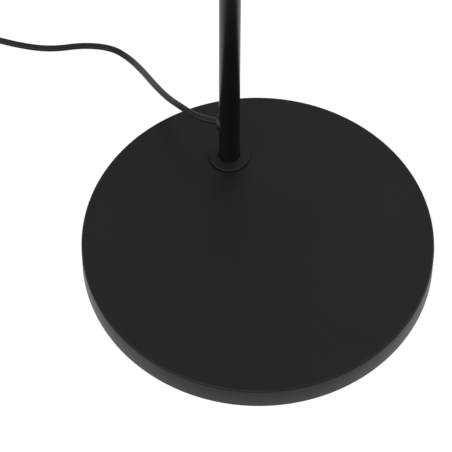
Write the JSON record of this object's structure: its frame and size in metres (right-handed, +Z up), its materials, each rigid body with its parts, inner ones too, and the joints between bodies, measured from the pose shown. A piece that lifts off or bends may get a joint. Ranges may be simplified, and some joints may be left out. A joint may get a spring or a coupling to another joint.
{
  "type": "gooseneck reading floor lamp",
  "caption": "Floor lamp with a weighted round base, straight jointed pole set off centre, flexible ribbed neck, small flared shade with push switch, and flat flex with plug.",
  "frame": {"origin": "centre of the round base's underside, on the floor", "axes": "+Z up along the pole; the pole stands on the +Y side of the centre, and the neck arches towards -Y"},
  "size_m": [0.4349, 0.5198, 1.4513],
  "materials": {
    "black_enamel": "satin black powder coat",
    "pole_enamel": "smooth satin black paint",
    "neck_coat": "black coated spring steel",
    "shade_enamel": "satin black outside, matt white inside",
    "zinc_steel": "zinc plated",
    "ballast": "rough grey ballast plate",
    "pad": "matt foam rubber",
    "brass": "plain brass",
    "holder_black": "moulded thermoset",
    "gland_black": "soft satin rubber",
    "flex_black": "satin flexible sheath",
    "plug_black": "moulded flexible plastic",
    "blade_nickel": "nickel plated brass",
    "bulb_metal": "plain thin shell",
    "bulb_white": "white plastic",
    "bulb_opal": "opal diffuser",
    "switch_black": "polished plastic"
  },
  "bodies": {
    "stand": {"floor_pad": "pad", "base_ballast": "ballast", "base_cover": "black_enamel", "foot_washer": "zinc_steel", "foot_bolt": "zinc_steel", "foot_flange": "black_enamel", "foot_insert": "zinc_steel", "pole_lower": "pole_enamel", "coupler_lower": "black_enamel", "pole_middle": "pole_enamel", "coupler_upper": "black_enamel", "pole_upper": "pole_enamel", "pole_top_insert": "zinc_steel", "cord_gland": "gland_black", "pole_lead": "flex_black", "cord_free": "flex_black", "cord_coil": "flex_black", "cord_tail": "flex_black", "plug_body": "plug_black", "plug_blades": "blade_nickel"},
    "neck_root": {"neck_socket": "black_enamel", "neck_link_0": "neck_coat", "neck_lead_0": "flex_black"},
    "neck_1": {"neck_link_1": "neck_coat", "neck_lead_1": "flex_black"},
    "neck_2": {"neck_link_2": "neck_coat", "neck_lead_2": "flex_black"},
    "neck_3": {"neck_link_3": "neck_coat", "neck_lead_3": "flex_black"},
    "neck_4": {"neck_link_4": "neck_coat", "neck_lead_4": "flex_black"},
    "neck_5": {"neck_link_5": "neck_coat", "neck_lead_5": "flex_black"},
    "neck_6": {"neck_link_6": "neck_coat", "neck_lead_6": "flex_black"},
    "neck_7": {"neck_link_7": "neck_coat", "neck_lead_7": "flex_black"},
    "head": {"head_ferrule": "black_enamel", "head_nipple": "zinc_steel", "shade_nut": "zinc_steel", "shade": "shade_enamel", "holder_cap": "holder_black", "holder_cup": "holder_black", "centre_contact": "brass", "bulb_cap": "bulb_metal", "bulb_neck": "bulb_white", "bulb_globe": "bulb_opal", "switch_body": "switch_black", "switch_nut": "brass", "neck_link_8": "neck_coat", "neck_lead_8": "flex_black"},
    "button": {"switch_button": "switch_black"}
  },
  "joints": [
    {"name": "neck_turn", "type": "hinge", "parent": "stand", "child": "neck_root", "pos_m": [0, 0.091, 1.286], "axis": [0, 0, 1], "range_deg": [-170, 170]},
    {"name": "neck_bend_1", "type": "hinge", "parent": "neck_root", "child": "neck_1", "pos_m": [0, 0.08855, 1.34284], "axis": [1, 0, 0], "range_deg": [-25, 5]},
    {"name": "neck_bend_2", "type": "hinge", "parent": "neck_1", "child": "neck_2", "pos_m": [0, 0.06954, 1.38874], "axis": [1, 0, 0], "range_deg": [-25, 5]},
    {"name": "neck_bend_3", "type": "hinge", "parent": "neck_2", "child": "neck_3", "pos_m": [0, 0.03441, 1.42387], "axis": [1, 0, 0], "range_deg": [-25, 5]},
    {"name": "neck_bend_4", "type": "hinge", "parent": "neck_3", "child": "neck_4", "pos_m": [0, -0.01148, 1.44288], "axis": [1, 0, 0], "range_deg": [-25, 5]},
    {"name": "neck_bend_5", "type": "hinge", "parent": "neck_4", "child": "neck_5", "pos_m": [0, -0.06116, 1.44288], "axis": [1, 0, 0], "range_deg": [-25, 5]},
    {"name": "neck_bend_6", "type": "hinge", "parent": "neck_5", "child": "neck_6", "pos_m": [0, -0.10706, 1.42387], "axis": [1, 0, 0], "range_deg": [-25, 5]},
    {"name": "neck_bend_7", "type": "hinge", "parent": "neck_6", "child": "neck_7", "pos_m": [0, -0.14219, 1.38874], "axis": [1, 0, 0], "range_deg": [-25, 5]},
    {"name": "neck_bend_8", "type": "hinge", "parent": "neck_7", "child": "head", "pos_m": [0, -0.1612, 1.34284], "axis": [1, 0, 0], "range_deg": [-25, 5]},
    {"name": "switch_press", "type": "slide", "parent": "head", "child": "button", "axis": [0, 0, -1], "range_m": [0, 0.0025], "stiffness_N_per_m": 600, "springref_m": -0.001}
  ]
}
